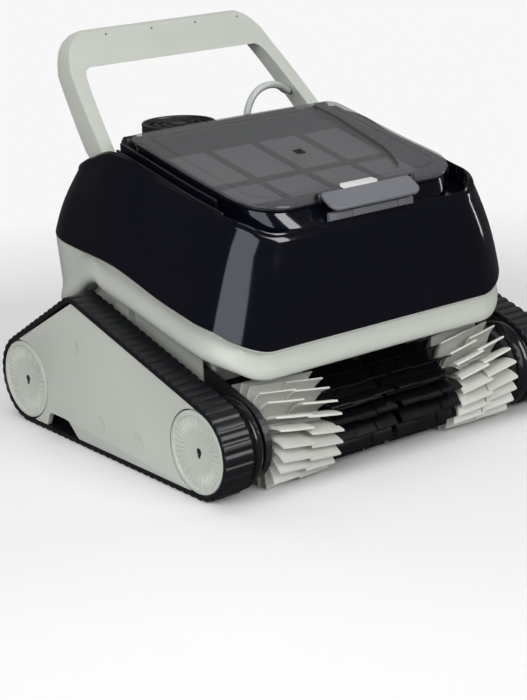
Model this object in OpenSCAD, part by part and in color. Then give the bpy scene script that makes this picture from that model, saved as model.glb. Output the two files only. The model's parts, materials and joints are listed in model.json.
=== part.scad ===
// Robotic pool cleaner: tracked chassis, filter tub under a smoked lid, tilting handle, split front brush.
// Frame: +X is the machine's right seen from the front, -Y is the front (brush and latch), +Z is up.
// Origin: on the floor, midway between the front and rear wheel axles and midway between the tracks.

/* [Tracks] */
// Distance between the front and rear wheel axles
wheel_base = 306; // [296:1:316]
// Outer radius of the track belt round the wheels, which is also the axle height
track_r = 48; // [46:1:50]
// Distance from the centre plane to the outer edge of a belt
track_half_width = 220.6; // [218:0.2:224]
// Width of a track belt
belt_w = 33.6; // [31:0.2:35]
// Thickness of a track belt
belt_t = 5.7; // [5:0.1:6]
// Height of the upper idler axle
idler_z = 137; // [134:1:139]
// Distance of the upper idler axle behind mid wheelbase
idler_y = 56.8; // [50:0.2:60]

/* [Body] */
// Half width of the body at the seam between shell and base
body_hx = 195; // [192:1:197]
// Front face of the body at the seam
body_front = -173; // [-176:1:-170]
// Rear face of the body at the seam
body_rear = 158; // [156:1:162]
// Wall thickness of the large mouldings
wall = 3.5; // [2.5:0.1:4]
// Half width of the shell at its upper edge
top_hx = 160; // [157:1:164]

/* [Lid] */
// Half width of the lid
lid_hx = 137; // [130:1:138]
// Front edge of the lid
lid_front = -148; // [-150:1:-146]
// Rear edge of the lid
lid_rear = 60; // [56:1:62]
// Thickness of the lid
lid_t = 4; // [3:0.5:4.5]

/* [Brush] */
// Tip radius of the brush blades
brush_r = 47.5; // [44:0.5:47.5]
// Number of blade rows round the brush
blade_rows = 16; // [12:1:20]
// Thickness of one blade
blade_t = 2; // [1.5:0.1:3]
// Distance from the centre plane to the step from black to white blades
brush_step = 85; // [75:1:95]

/* [Cord] */
// Diameter of the floating cable
cord_d = 8; // [7:0.5:8]
// Radius of the wound coil at the middle of its turns
coil_mid_r = 72; // [66:1:76]

/* [Hidden] */
$fn = 64;

// colours
light_grey = "#bcc2ba";
gloss_black = "#0b0c12";
smoke_grey = "#6e7073";
latch_grey = "#7d7f89";
rubber_black = "#1b1c1f";
brush_white_colour = "#e4e4de";
metal = "#b9bcc0";

// track geometry
wheel_y = wheel_base / 2;
axle_z = track_r;
idler_belt_r = 21;
belt_x0 = track_half_width - belt_w;
belt_clear = 0.4;
wheel_r = track_r - belt_t - belt_clear;
idler_r = idler_belt_r - belt_t - belt_clear;
cap_r = 41.4;
flange_r = 45;
shaft_r = 6;
bush_gap = 0.05;
bush_r = 9;
idler_pin_r = 4;
frame_x0 = 160;
frame_t = 7;
plate_x0 = 214;
plate_t = 5.5;
brush_x1 = 157;
hub_x0 = 169.5;
hub_x1 = 213.5;
// centres of the three posts that join a track's two plates: y, z
post_points = [[51, 108], [10, 34], [-56, 34]];

// side profile of the body: [y, z] tables
seam_z = [[-176, 131], [-168, 140], [-156, 149], [-142, 158], [-70, 174], [22, 196], [80, 201], [128, 207], [162, 212]];
low_z = [[-176, 100], [-168, 105], [-155, 116], [-132, 125], [-90, 134], [-46, 144], [0, 154], [38, 162],
         [50, 168], [62, 165], [86, 148], [118, 131], [162, 122]];
shoulder_z = [[-170, 241.5], [-160, 245], [-143, 256], [-110, 262.7], [-78, 270], [-12, 283], [38, 296], [60, 297], [105, 284], [121, 278], [155, 270]];
lid_z = [[-170, 252], [-158, 259], [-148, 265.5], [-138, 269.5], [-48, 288.4], [20, 303.5], [64, 313]];
lid_crown = 1;
top_front = -167;
top_rear = 150;
lip_w = 7;
lid_front_r = 44;
lid_rear_r = 14;

// handle, pivot and outlet places
pivot_y = 84;
pivot_z = 272;
pivot_pin_r = 4;
outlet_x = -37;
outlet_y = 108;
outlet_r = 39.5;
hinge_y = 68;
hinge_z = 300;
hinge_x = 105;
hinge_pin_r = 2.5;
gland_x = 50;
gland_y = 102;
gland_top = 296.7;
// where the cable passes through the middle of the right arm, and its heading in plan
hole_x = 138.5;
hole_y = 131;
hole_z = 314.5;
hole_turn = 25.2;

// cable: the loop from the gland to the handle, the drop to the floor and the tail into the coil
loop_points = [
  [50, 102, 296.7], [51, 102, 305], [54.5, 102, 313], [59.5, 102, 320], [66.5, 102, 325.5], [74.5, 102, 328.5],
  [83, 102, 329.5], [91.5, 103.5, 328.3], [99.5, 106.5, 325.7], [106, 110.5, 322.5], [113, 116, 319.3],
  [120.5, 121.8, 316.5], [128.5, 126.3, 315], [138.5, 131, 314.5]
];
drop_points = [
  [138.5, 131, 314.5], [148, 135.5, 314], [156, 139.5, 312], [165, 144, 307], [173, 149, 299], [178, 155, 289],
  [180, 160, 277], [181, 165, 263], [181, 170, 248], [179, 175, 230], [176, 181, 205], [172, 187, 178],
  [168, 193, 150], [163, 199, 122], [158, 205, 95], [153, 210, 69], [148, 215, 46], [143, 222, 27],
  [138, 232, 13], [134, 245, 6], [132.5, 259, 4.2], [132, 270, 4.2], [131.6, 276, 4.2]
];
coil_x = 45;
coil_y = 318;
coil_layers = 6;

// ---------- outlines and swept skins ----------
front_steps = 6;
corner_steps = 7;
side_steps = 11;
function mix(a, b, t) = a + (b - a) * t;
function turn(cx, cy, r, a) = [cx + r * cos(a), cy + r * sin(a)];

// Rounded rectangle seen from above, counter-clockwise, always with the same number of points
function outline(hx, yf, yr, rf, rr) = concat(
  [for (i = [0:front_steps - 1]) [mix(rf - hx, hx - rf, i / front_steps), yf]],
  [for (i = [0:corner_steps - 1]) turn(hx - rf, yf + rf, rf, -90 + 90 * i / corner_steps)],
  [for (i = [0:side_steps - 1]) [hx, mix(yf + rf, yr - rr, i / side_steps)]],
  [for (i = [0:corner_steps - 1]) turn(hx - rr, yr - rr, rr, 90 * i / corner_steps)],
  [for (i = [0:front_steps - 1]) [mix(hx - rr, rr - hx, i / front_steps), yr]],
  [for (i = [0:corner_steps - 1]) turn(rr - hx, yr - rr, rr, 90 + 90 * i / corner_steps)],
  [for (i = [0:side_steps - 1]) [-hx, mix(yr - rr, yf + rf, i / side_steps)]],
  [for (i = [0:corner_steps - 1]) turn(rf - hx, yf + rf, rf, 180 + 90 * i / corner_steps)]
);

// The body outline at the seam, and the shell's outline at its upper edge, both drawn in by d
function seam_outline(d) = outline(body_hx - d, body_front + d, body_rear - d, 58 - d, 62 - d);
function top_outline(d) = outline(top_hx - d, top_front + d, top_rear - d, 50 - d, 45 - d);
function lid_outline(d) = outline(lid_hx - d, lid_front + d, lid_rear - d, lid_front_r - d, lid_rear_r - d);
function raise(points, table, dz) = [for (p = points) [p[0], p[1], lookup(p[1], table) + dz]];
function lid_height(p) = lookup(p[1], lid_z) - lid_crown * pow(p[0] / lid_hx, 2);
function on_lid(points, dz) = [for (p = points) [p[0], p[1], lid_height(p) + dz]];
function blend_loops(a, b, t, out) = [
  for (i = [0:len(a) - 1])
    let (p = mix(a[i], b[i], t), n = norm([p[0], p[1]]))
    [p[0] * (1 + out / n), p[1] * (1 + out / n), p[2]]
];
function band(m0, m1, n) = [
  for (i = [0:n - 1])
    let (j = (i + 1) % n)
    each [[m0 * n + i, m1 * n + i, m1 * n + j], [m0 * n + i, m1 * n + j, m0 * n + j]]
];

// A closed ring-shaped skin through loops that run up the outside and down the inside
module ring_skin(loops) {
  n = len(loops[0]);
  m = len(loops);
  polyhedron(
    points = [for (l = loops) each l],
    faces = [for (k = [0:m - 1]) each band(k, (k + 1) % m, n)],
    convexity = 6
  );
}

// A closed dish-shaped skin through loops that run out along the underside and back along the top
module dish_skin(loops, low_centre, high_centre) {
  n = len(loops[0]);
  m = len(loops);
  polyhedron(
    points = concat([for (l = loops) each l], [low_centre, high_centre]),
    faces = concat(
      [for (k = [0:m - 2]) each band(k, k + 1, n)],
      [for (i = [0:n - 1]) [m * n, i, (i + 1) % n]],
      [for (i = [0:n - 1]) [(m - 1) * n + i, m * n + 1, (m - 1) * n + (i + 1) % n]]
    ),
    convexity = 6
  );
}

// A tube of radius r through points, with sides flats round it
function unit(v) = v / norm(v);
function heading(p, i) = unit(p[min(i + 1, len(p) - 1)] - p[max(i - 1, 0)]);
module tube(p, r, sides) {
  rings = [
    for (i = [0:len(p) - 1])
      let (t = heading(p, i), u = unit(cross(t, [0, 1, 0.05])), v = cross(t, u))
      [for (k = [0:sides - 1]) p[i] + r * (u * cos(360 * k / sides) + v * sin(360 * k / sides))]
  ];
  dish_skin(rings, p[0], p[len(p) - 1]);
}

// Draws a [y, z] shape and extrudes it along +X from x0 by w
module along_x(x0, w) {
  translate([x0, 0, 0])
    rotate([90, 0, 90])
      linear_extrude(w)
        children();
}

// A cylinder along X from x0 by w at y, z
module rod_x(x0, w, r, y, z) {
  translate([x0, y, z])
    rotate([0, 90, 0])
      cylinder(h = w, r = r);
}

module mirrored(left) {
  if (left)
    mirror([1, 0, 0])
      children();
  else
    children();
}

module both_sides() {
  children();
  mirror([1, 0, 0])
    children();
}

// ---------- track outline: arcs round the front wheel, rear wheel and idler ----------
function track_circles(d) = [
  [-wheel_y, axle_z, track_r + d], [wheel_y, axle_z, track_r + d], [idler_y, idler_z, idler_belt_r + d]
];
function leave_angle(a, b) =
  let (dy = b[0] - a[0], dz = b[1] - a[1])
  atan2(dz, dy) - acos((a[2] - b[2]) / norm([dy, dz]));
function up_from(a, b) = b < a ? up_from(a, b + 360) : b;
function track_path(d) = [
  let (c = track_circles(d), steps = 16)
  for (j = [0:2])
    let (
      a0 = leave_angle(c[(j + 2) % 3], c[j]),
      a1 = up_from(a0, leave_angle(c[j], c[(j + 1) % 3]))
    )
    for (s = [0:steps])
      turn(c[j][0], c[j][1], c[j][2], mix(a0, a1, s / steps))
];

// ---------- body ----------
module base_shell() {
  base_mid = raise(outline(body_hx - 3, body_front + 2, body_rear - 3, 56, 60), low_z, 24);
  rim_high = raise(outline(body_hx - 4, body_front + 2, body_rear - 5, 55, 58), low_z, 16);
  rim_mid = raise(outline(body_hx - 2, body_front + 1, body_rear - 3, 57, 60), low_z, 8);
  rim_low = raise(outline(body_hx - 6, body_front + 5, body_rear - 7, 53, 56), low_z, 0);
  inner = outline(155.3, -98, 146.3, 0.5, 0.5);
  color(light_grey)
    ring_skin([
      raise(inner, low_z, 0),
      rim_low,
      rim_mid,
      rim_high,
      base_mid,
      raise(seam_outline(0), seam_z, 0),
      raise(seam_outline(wall), seam_z, 0),
      raise(outline(body_hx - 8, body_front + 8, body_rear - 9, 51, 54), low_z, wall),
      raise(inner, low_z, wall)
    ]);
}

seam_gap = 0.2;
module upper_shell() {
  low = raise(seam_outline(0), seam_z, seam_gap);
  high = raise(top_outline(0), shoulder_z, -2);
  low_in = raise(seam_outline(wall), seam_z, seam_gap);
  high_in = raise(top_outline(wall), shoulder_z, -5);
  color(gloss_black)
    difference() {
      ring_skin([
        low,
        blend_loops(low, high, 0.33, 2),
        blend_loops(low, high, 0.67, 2),
        high,
        raise(top_outline(2), shoulder_z, 0),
        raise(top_outline(lip_w), shoulder_z, 0),
        raise(top_outline(lip_w), shoulder_z, -wall),
        high_in,
        blend_loops(low_in, high_in, 0.5, 1.5),
        low_in
      ]);
      // the outlet collar passes through the rear lip
      translate([outlet_x, outlet_y, collar_foot - 0.5])
        cylinder(h = 60, r = outlet_r + 0.4);
    }
}

chassis_front = -95;
chassis_hx = 155;
inlet_y = -30;
inlet_l = 22;
inlet_x0 = 20;
inlet_x1 = 130;
module inlet_slots(z0, h) {
  both_sides()
    translate([inlet_x0, inlet_y - inlet_l / 2, z0])
      cube([inlet_x1 - inlet_x0, inlet_l, h]);
}

flap_rod_r = 2;
flap_y = inlet_y + inlet_l / 2 + 4;
flap_z = 19;
module chassis() {
  color("#2a2b2e") {
    difference() {
      along_x(-chassis_hx, 2 * chassis_hx)
        polygon([[chassis_front, 12], [146, 12], [176, 30], [176, 72], [146, 108], [146, 150], [chassis_front, 150]]);
      along_x(-chassis_hx + 4, 2 * chassis_hx - 8)
        polygon([[chassis_front + 4, 16], [144.5, 16], [172, 32.5], [172, 70], [142, 106], [142, 151], [chassis_front + 4, 151]]);
      inlet_slots(11, 6);
      both_sides()
        rod_x(chassis_hx - 5, 6, shaft_r + 1, wheel_y, axle_z);
      // the rear corners are cut off inside the rounded body
      both_sides()
        translate([0, 0, 110])
          linear_extrude(60)
            polygon([[149, 147], [156, 147], [156, 140]]);
    }
    // ears that carry the flap rod
    for (x = [-136, -2, 132])
      difference() {
        translate([x, flap_y - 4, 16])
          cube([4, 8, 8]);
        rod_x(x - 1, 6, flap_rod_r + bush_gap, flap_y, flap_z);
      }
  }
}

module bottom_plate() {
  color(light_grey)
    difference() {
      translate([-140, -85, 8.5])
        cube([280, 200, 3.5]);
      inlet_slots(8, 5);
      screw_places()
        cylinder(h = 20, r = 2.2);
    }
}

module screw_places() {
  for (x = [-132, 132])
    for (y = [-76, 106])
      translate([x, y, 0])
        children();
}

module screws() {
  color(metal)
    screw_places() {
      translate([0, 0, 6.4])
        cylinder(h = 2.1, r = 4);
      translate([0, 0, 8.5])
        cylinder(h = 3.5, r = 2);
    }
}

module inlet_flaps() {
  color("#3a3c40") {
    rod_x(-138, 276, flap_rod_r, flap_y, flap_z);
    both_sides()
      translate([inlet_x0 - 2, inlet_y - inlet_l / 2 - 2, flap_z - flap_rod_r])
        cube([inlet_x1 - inlet_x0 + 2, flap_y - inlet_y + inlet_l / 2 + 2, flap_rod_r]);
  }
}

// ---------- deck, filter tub and basket ----------
deck_top = [[-162, 233], [-150, 236], [-120, 243], [0, 268], [60, 281], [76, 284], [104, 284], [143, 268]];
module deck_profile(t) {
  n = len(deck_top);
  polygon(concat(deck_top, [for (i = [n - 1:-1:0]) [deck_top[i][0], deck_top[i][1] - t]]));
}

module deck() {
  color(gloss_black) {
    difference() {
      intersection() {
        along_x(-top_hx, 2 * top_hx)
          deck_profile(4);
        translate([0, 0, 199])
          linear_extrude(102)
            polygon(top_outline(lip_w + 0.5));
      }
      translate([0, 0, 199])
        linear_extrude(102)
          polygon(lid_outline(3.7));
      both_sides()
        translate([arm_slot_x, 64, 200])
          cube([40, 100, 100]);
      translate([outlet_x, outlet_y, 200])
        cylinder(h = 100, r = outlet_r);
      translate([gland_x, gland_y, 200])
        cylinder(h = 100, r = 8);
    }
    both_sides()
      handle_bracket();
    for (x = [-hinge_x, hinge_x])
      for (dx = [-13, 6.5])
        lid_bracket(x + dx);
  }
}

// Ear beside each handle arm, hung from the deck
arm_slot_x = 134;
module handle_bracket() {
  ear_t = 6;
  difference() {
    along_x(arm_slot_x - ear_t, ear_t)
      polygon([[66, 262], [72, 258], [96, 258], [102, 262], [102, 283.5], [76, 283.5], [66, 281.7]]);
    rod_x(arm_slot_x - ear_t - 1, ear_t + 2, pivot_pin_r, pivot_y, pivot_z);
  }
}

module lid_bracket(x0) {
  difference() {
    along_x(x0, 6.5)
      polygon([[62, 281.2], [74, 283.4], [74, 303], [70, 305.5], [66, 305.5], [62, 303]]);
    rod_x(x0 - 1, 9, hinge_pin_r, hinge_y, hinge_z);
  }
}

module filter_housing() {
  top_gap = -lid_t - 3.8;
  // the front wall leans out to meet the shell's lip
  apron = outline(lid_hx - 4, lid_front - 5.9, lid_rear - 4, lid_front_r + 6, lid_rear_r - 4);
  color(gloss_black)
    ring_skin([
      [for (p = lid_outline(4)) [p[0], p[1], 150]],
      on_lid(lid_outline(4), -28),
      on_lid(apron, -19),
      on_lid(lid_outline(4), top_gap),
      on_lid(lid_outline(7), top_gap),
      [for (p = lid_outline(7)) [p[0], p[1], 150]]
    ]);
}

basket_low = 152;
basket_drop = 16;
module basket_column(d, z0, h) {
  translate([0, 0, z0])
    linear_extrude(h)
      polygon(outline(122 - d, -138.5 + d, 46 - d, 38 - d, 8 - d));
}

// Everything under the sloping top of the basket, lowered by dz
module under_basket_top(dz) {
  along_x(-125, 250)
    polygon([[-155, 150], [50, 150], for (y = [50, 20, -48, -138, -155]) [y, lookup(y, lid_z) - basket_drop - dz]]);
}

// Two rows of four openings in the basket's top
module basket_windows() {
  pitch = 60;
  bar = 6;
  for (i = [-2:1])
    for (row = [[-52, 81], [-106, 48]])
      translate([i * pitch + bar / 2, row[0], 200])
        cube([pitch - bar, row[1], 120]);
}

module basket_frame() {
  wall_window_h = 88;
  color("#595c60")
    difference() {
      intersection() {
        basket_column(0, basket_low, 160);
        under_basket_top(0);
      }
      intersection() {
        basket_column(3, basket_low + 3, 160);
        under_basket_top(3);
      }
      intersection() {
        basket_windows();
        basket_column(5, 200, 120);
      }
      // windows in the walls, each [start, width], from the floor up to the top rim
      for (span = [[-112, 34], [-52, 34], [-6, 44]])
        translate([-130, span[0], basket_low + 3])
          cube([260, span[1], wall_window_h]);
      for (span = [[-112, 52], [-52, 48], [4, 48], [60, 52]])
        translate([span[0], -160, basket_low + 3])
          cube([span[1], 220, wall_window_h]);
      translate([-60, -90, 150])
        cube([120, 90, 10]);
    }
}

module basket_mesh() {
  color("#8f9397")
    difference() {
      intersection() {
        basket_column(3.1, basket_low + 3.1, 160);
        under_basket_top(3.1);
      }
      intersection() {
        basket_column(4.2, basket_low + 3.1 - 1, 160);
        under_basket_top(4.2);
      }
    }
}

// ---------- lid and latch ----------
notch_hx = 60.5;
notch_y = -146;
latch_pin_r = 1.5;
latch_pin_y = -150.2;
latch_pin_z = 268.4;
// Upright ear at each side of the notch, which carries the latch's pin
module latch_ear() {
  difference() {
    along_x(58.1, 4.4)
      polygon([[-156, 257], [-145, 262], [-145.5, 268], [-148, 271.4], [-152.4, 271.4], [-154, 268]]);
    rod_x(57, 7, latch_pin_r + bush_gap, latch_pin_y, latch_pin_z);
  }
}

module lid() {
  centre = [0, (lid_front + lid_rear) / 2];
  shares = [0.3, 0.6, 0.85];
  function shrink(s) = [for (p = lid_outline(0)) mix(centre, p, s)];
  color(smoke_grey, 0.85) {
    difference() {
      dish_skin(
        concat(
          [for (s = shares) on_lid(shrink(s), -lid_t)],
          [on_lid(lid_outline(0.8), -lid_t), on_lid(lid_outline(0), -lid_t * 0.7)],
          [on_lid(lid_outline(0), -1), on_lid(lid_outline(1), 0)],
          [for (i = [2:-1:0]) on_lid(shrink(shares[i]), 0)]
        ),
        [0, centre[1], lid_height(centre) - lid_t],
        [0, centre[1], lid_height(centre)]
      );
      translate([-notch_hx, -200, 200])
        cube([2 * notch_hx, 200 + notch_y, 100]);
    }
    both_sides()
      latch_ear();
  }
}

module lid_seal() {
  color(rubber_black)
    ring_skin([
      on_lid(lid_outline(4.4), -lid_t - 3.3),
      on_lid(lid_outline(4.4), -lid_t - 0.1),
      on_lid(lid_outline(7.4), -lid_t - 0.1),
      on_lid(lid_outline(7.4), -lid_t - 3.3)
    ]);
}

label_tilt = 17;
module lid_label() {
  color("white")
    translate([0, -139.6, 269])
      rotate([label_tilt, 0, 0])
        linear_extrude(1.2)
          polygon([[-23, 0], [-19, -4.5], [19, -4.5], [23, 0], [19, 4.5], [-19, 4.5]]);
}

module lid_hinge_arms() {
  color(smoke_grey)
    for (x = [-hinge_x - 6.2, hinge_x - 6.2])
      difference() {
        union() {
          rod_x(x, 12.4, 5, hinge_y, hinge_z);
          along_x(x, 12.4)
            polygon([[56.4, 299.5], [hinge_y, hinge_z - 4.9], [hinge_y, hinge_z + 4.9], [60, 308.6], [56.4, 307.6]]);
        }
        rod_x(x - 1, 15, hinge_pin_r + bush_gap, hinge_y, hinge_z);
      }
}

module lid_hinge_pins() {
  color(metal)
    for (x = [-hinge_x, hinge_x])
      rod_x(x - 14, 28, hinge_pin_r, hinge_y, hinge_z);
}

latch_tilt = 31;
latch_hx = 57.7;
latch_depth = 25;
module latch_plate() {
  r = 11;
  color(latch_grey) {
    rod_x(-62, 124, latch_pin_r, latch_pin_y, latch_pin_z);
    translate([0, -147, 268])
      rotate([latch_tilt, 0, 0])
        translate([0, -latch_depth, 0])
          linear_extrude(4)
            union() {
              for (x = [r - latch_hx, latch_hx - r])
                translate([x, r])
                  circle(r);
              translate([r - latch_hx, 0])
                square([2 * (latch_hx - r), latch_depth]);
              translate([-latch_hx, r])
                square([2 * latch_hx, latch_depth - r]);
            }
  }
}

module latch_keeper() {
  color(latch_grey)
    difference() {
      translate([-54, -159.6, 236])
        cube([108, 5.3, 16]);
      for (x = [-26, 34])
        translate([x, -161, 235])
          cube([1.6, 3, 20]);
    }
}

// ---------- handle ----------
module handle() {
  color(light_grey)
    difference() {
      intersection() {
        along_x(-160, 320)
          union() {
            polygon([
              [75, 281], [92, 262], [110, 280], [184, 358], [197, 389], [196, 397], [190, 402], [183, 399],
              [174, 384], [162, 366]
            ]);
            translate([pivot_y, pivot_z])
              circle(12.5);
          }
        translate([0, 220, 0])
          rotate([90, 0, 0])
            linear_extrude(170)
              handle_front();
      }
      rod_x(-160, 320, pivot_pin_r + bush_gap, pivot_y, pivot_z);
      translate([hole_x, hole_y, hole_z])
        rotate([0, 90, hole_turn])
          cylinder(h = 60, r = cord_d / 2 + 1, center = true);
    }
}

// The handle seen from the front: a portal with flared arms and chamfered upper corners
module handle_front() {
  difference() {
    polygon([
      [-150, 255], [-150, 290], [-143, 330], [-137, 358], [-132, 374], [-124, 388], [-110, 398], [-102, 403],
      [102, 403], [110, 398], [124, 388], [132, 374], [137, 358], [143, 330], [150, 290], [150, 255]
    ]);
    polygon([
      [-134.5, 250], [-134.5, 290], [-127, 328], [-119, 359], [-114, 366],
      [114, 366], [119, 359], [127, 328], [134.5, 290], [134.5, 250]
    ]);
  }
}

module handle_pins() {
  color(metal)
    both_sides()
      rod_x(arm_slot_x - 6, 22, pivot_pin_r, pivot_y, pivot_z);
}

// ---------- outlet, pump and motors ----------
collar_foot = 262;
module outlet_collar() {
  color(gloss_black)
    translate([outlet_x, outlet_y, collar_foot])
      difference() {
        cylinder(h = 43, r = outlet_r);
        translate([0, 0, -1])
          cylinder(h = 50, r = outlet_r - 4);
      }
}

grille_z = 299;
module outlet_grille() {
  r = outlet_r - 4;
  color(gloss_black)
    translate([outlet_x, outlet_y, grille_z])
      union() {
        for (ring = [[r, r - 2.5], [r - 9, r - 11.5], [r - 18, r - 20.5]])
          difference() {
            cylinder(h = 4, r = ring[0]);
            translate([0, 0, -1])
              cylinder(h = 6, r = ring[1]);
          }
        difference() {
          for (i = [0:7])
            rotate([0, 0, 45 * i])
              translate([6, -1.2, 0])
                cube([r - 7, 2.4, 4]);
          translate([0, 0, -1])
            cylinder(h = 6, r = 8);
        }
        cylinder(h = 4, r = 8.5);
      }
}

shaft_pump_r = 4;
module impeller() {
  color("#3d4046")
    translate([outlet_x, outlet_y, 0])
      difference() {
        union() {
          translate([0, 0, 266])
            cylinder(h = 20, r = 9);
          for (i = [0:3])
            rotate([0, 0, 90 * i])
              translate([5, 0, 276])
                rotate([35, 0, 0])
                  translate([0, -9, -1])
                    cube([28, 18, 2]);
        }
        translate([0, 0, 260])
          cylinder(h = 40, r = shaft_pump_r);
      }
}

module impeller_shaft() {
  color(metal)
    translate([outlet_x, outlet_y, 175])
      cylinder(h = 111, r = shaft_pump_r);
}

box_r = 29;
box_top = 200;
module motor_box() {
  color("#33353a")
    translate([outlet_x, outlet_y, 16])
      difference() {
        cylinder(h = box_top - 16, r = box_r);
        translate([0, 0, 3])
          cylinder(h = box_top, r = box_r - 3);
      }
}

module motor_box_cover() {
  color("#33353a")
    translate([outlet_x, outlet_y, box_top])
      difference() {
        union() {
          cylinder(h = 5, r = box_r);
          cylinder(h = 14, r = 12);
        }
        translate([0, 0, -1])
          cylinder(h = 20, r = shaft_pump_r + bush_gap);
      }
}

module pump_motor() {
  color(metal)
    translate([outlet_x, outlet_y, 19])
      difference() {
        union() {
          cylinder(h = 160, r = 24);
          cylinder(h = 171, r = 12);
        }
        translate([0, 0, 155])
          cylinder(h = 30, r = shaft_pump_r + bush_gap);
      }
}

module drive_motors() {
  color(metal)
    both_sides() {
      rod_x(78, 40, 17, wheel_y, axle_z);
      rod_x(118, 31, 18.5, wheel_y, axle_z);
    }
}

module control_board() {
  color("#1f6b45") {
    translate([20, 84, 18])
      cube([50, 3, 96]);
    for (z = [30, 56, 84])
      translate([30, 87, z])
        cube([24, 8, 14]);
  }
}

// ---------- tracks ----------
module side_plate(left) {
  color(light_grey)
    mirrored(left)
      difference() {
        along_x(plate_x0, plate_t)
          difference() {
            polygon(track_path(-belt_t - 1));
            for (y = [-wheel_y, wheel_y])
              translate([y, axle_z])
                circle(r = cap_r + 1.6);
            polygon([[38, -4], [58, 9], [72, 21], [80, 22], [104, 22], [110, 19], [119, -4]]);
          }
        // shallow dimples over the posts
        for (p = post_points)
          rod_x(plate_x0 + plate_t - 0.6, 2, 6, p[0], p[1]);
      }
}

module track_frame(left) {
  color(rubber_black)
    mirrored(left) {
      difference() {
        along_x(frame_x0, frame_t)
          polygon(track_path(-8));
        for (y = [-wheel_y, wheel_y])
          rod_x(frame_x0 - 1, frame_t + 2, bush_r, y, axle_z);
      }
      for (p = post_points)
        rod_x(frame_x0 + frame_t, plate_x0 - frame_x0 - frame_t, 6, p[0], p[1]);
      rod_x(frame_x0 + frame_t, plate_x0 - frame_x0 - frame_t, idler_pin_r, idler_y, idler_z);
      // feet that stand the frame off the chassis wall
      for (p = [[-60, 70], [60, 120], [100, 40]])
        rod_x(chassis_hx, frame_x0 - chassis_hx, 9, p[0], p[1]);
    }
}

module track_bushes() {
  color("#c9a35a")
    both_sides()
      for (y = [-wheel_y, wheel_y])
        difference() {
          rod_x(frame_x0, frame_t, bush_r, y, axle_z);
          rod_x(frame_x0 - 1, frame_t + 2, shaft_r + bush_gap, y, axle_z);
        }
}

module belt(left) {
  color(rubber_black)
    mirrored(left)
      along_x(belt_x0, belt_w)
        difference() {
          polygon(track_path(0));
          polygon(track_path(-belt_t));
        }
}

module wheel(left, y) {
  color(rubber_black)
    mirrored(left)
      difference() {
        union() {
          rod_x(hub_x0, 13.5, flange_r, y, axle_z);
          rod_x(hub_x0 + 13.5, 5, 30, y, axle_z);
          rod_x(hub_x0 + 18.5, hub_x1 - hub_x0 - 18.5, wheel_r, y, axle_z);
        }
        rod_x(hub_x0 - 1, 60, shaft_r, y, axle_z);
        rod_x(hub_x1 - 15, 20, 36, y, axle_z);
        rod_x(hub_x0 - 1, 5, 38, y, axle_z);
      }
}

// Dished hub cap with a spigot that clips into the wheel and a slot at its centre
module cap(left, y) {
  x0 = hub_x1 - 1.5;
  color(light_grey)
    mirrored(left)
      difference() {
        translate([x0, y, axle_z])
          rotate([0, 90, 0])
            rotate_extrude()
              polygon([
                [0, 0], [35.8, 0], [35.8, 1.6], [cap_r, 1.6], [cap_r, 6.6], [cap_r - 1.5, 8.4], [36, 8.2],
                [20, 5.8], [8, 4.8], [0, 4.8]
              ]);
        translate([x0 - 1, y - 1.3, axle_z - 4])
          cube([12, 2.6, 8]);
      }
}

module idler(left) {
  color(rubber_black)
    mirrored(left)
      difference() {
        rod_x(belt_x0 + 2, 24, idler_r, idler_y, idler_z);
        rod_x(belt_x0, 40, idler_pin_r + bush_gap, idler_y, idler_z);
      }
}

module rear_shaft(left) {
  color(metal)
    mirrored(left)
      rod_x(149.6, hub_x1 - 15 - 149.6, shaft_r, wheel_y, axle_z);
}

// ---------- brush ----------
core_r = 20;
journal_r = 5;
module brush_core(left) {
  color("#101114")
    mirrored(left) {
      rod_x(6, brush_x1 - 6, core_r, -wheel_y, axle_z);
      rod_x(0.8, 5.2, journal_r, -wheel_y, axle_z);
      rod_x(brush_x1, hub_x1 - 15 - brush_x1, shaft_r, -wheel_y, axle_z);
    }
}

// A sleeve of blades over the core: rings of flat blades, each ring turned by half a pitch from the last
blade_gap = 1;
sleeve_r = core_r + 3;
module blade_sleeve(x0, w, rings) {
  ring_w = w / rings;
  difference() {
    rod_x(x0, w, sleeve_r, -wheel_y, axle_z);
    rod_x(x0 - 1, w + 2, core_r, -wheel_y, axle_z);
  }
  for (ring = [0:rings - 1])
    for (i = [0:blade_rows - 1])
      translate([x0 + ring * ring_w + blade_gap / 2, -wheel_y, axle_z])
        rotate([360 * (i + (ring % 2) / 2) / blade_rows, 0, 0])
          translate([0, -blade_t / 2, core_r + 1.5])
            cube([ring_w - blade_gap, blade_t, brush_r - core_r - 1.5]);
}

module brush_black(left) {
  color("#0c0d0f")
    mirrored(left)
      blade_sleeve(6, brush_step - 6, 4);
}

module brush_white(left) {
  color(brush_white_colour)
    mirrored(left)
      blade_sleeve(brush_step, brush_x1 - brush_step, 2);
}

// Hanger that carries the inner ends of the two brush halves
module brush_bracket() {
  color("#15161a")
    difference() {
      union() {
        rod_x(-5, 10, 12, -wheel_y, axle_z);
        along_x(-5, 10)
          polygon([[-wheel_y - 6, axle_z], [-wheel_y + 6, axle_z], [chassis_front, 118], [chassis_front, 136]]);
      }
      rod_x(-6, 12, journal_r + bush_gap, -wheel_y, axle_z);
    }
}

// ---------- cable ----------
module cable_gland() {
  color(rubber_black)
    translate([gland_x, gland_y, 0])
      rotate_extrude()
        polygon([
          [0, 268], [8, 268], [8, 284], [11, 284], [11, 286.5], [8, 288], [5, gland_top], [0, gland_top]
        ]);
}

module cord_loop() {
  color("#c8cbc6")
    tube(loop_points, cord_d / 2, 10);
}

module cord_drop() {
  color("#c8cbc6")
    tube(drop_points, cord_d / 2, 10);
}

coil_half = coil_layers * cord_d / 2;
module cord_coil() {
  color("#c8cbc6")
    translate([coil_x, coil_y, 0])
      rotate_extrude()
        translate([coil_mid_r - coil_half, 0.2])
          square([2 * coil_half, 2 * coil_half]);
}

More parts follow.
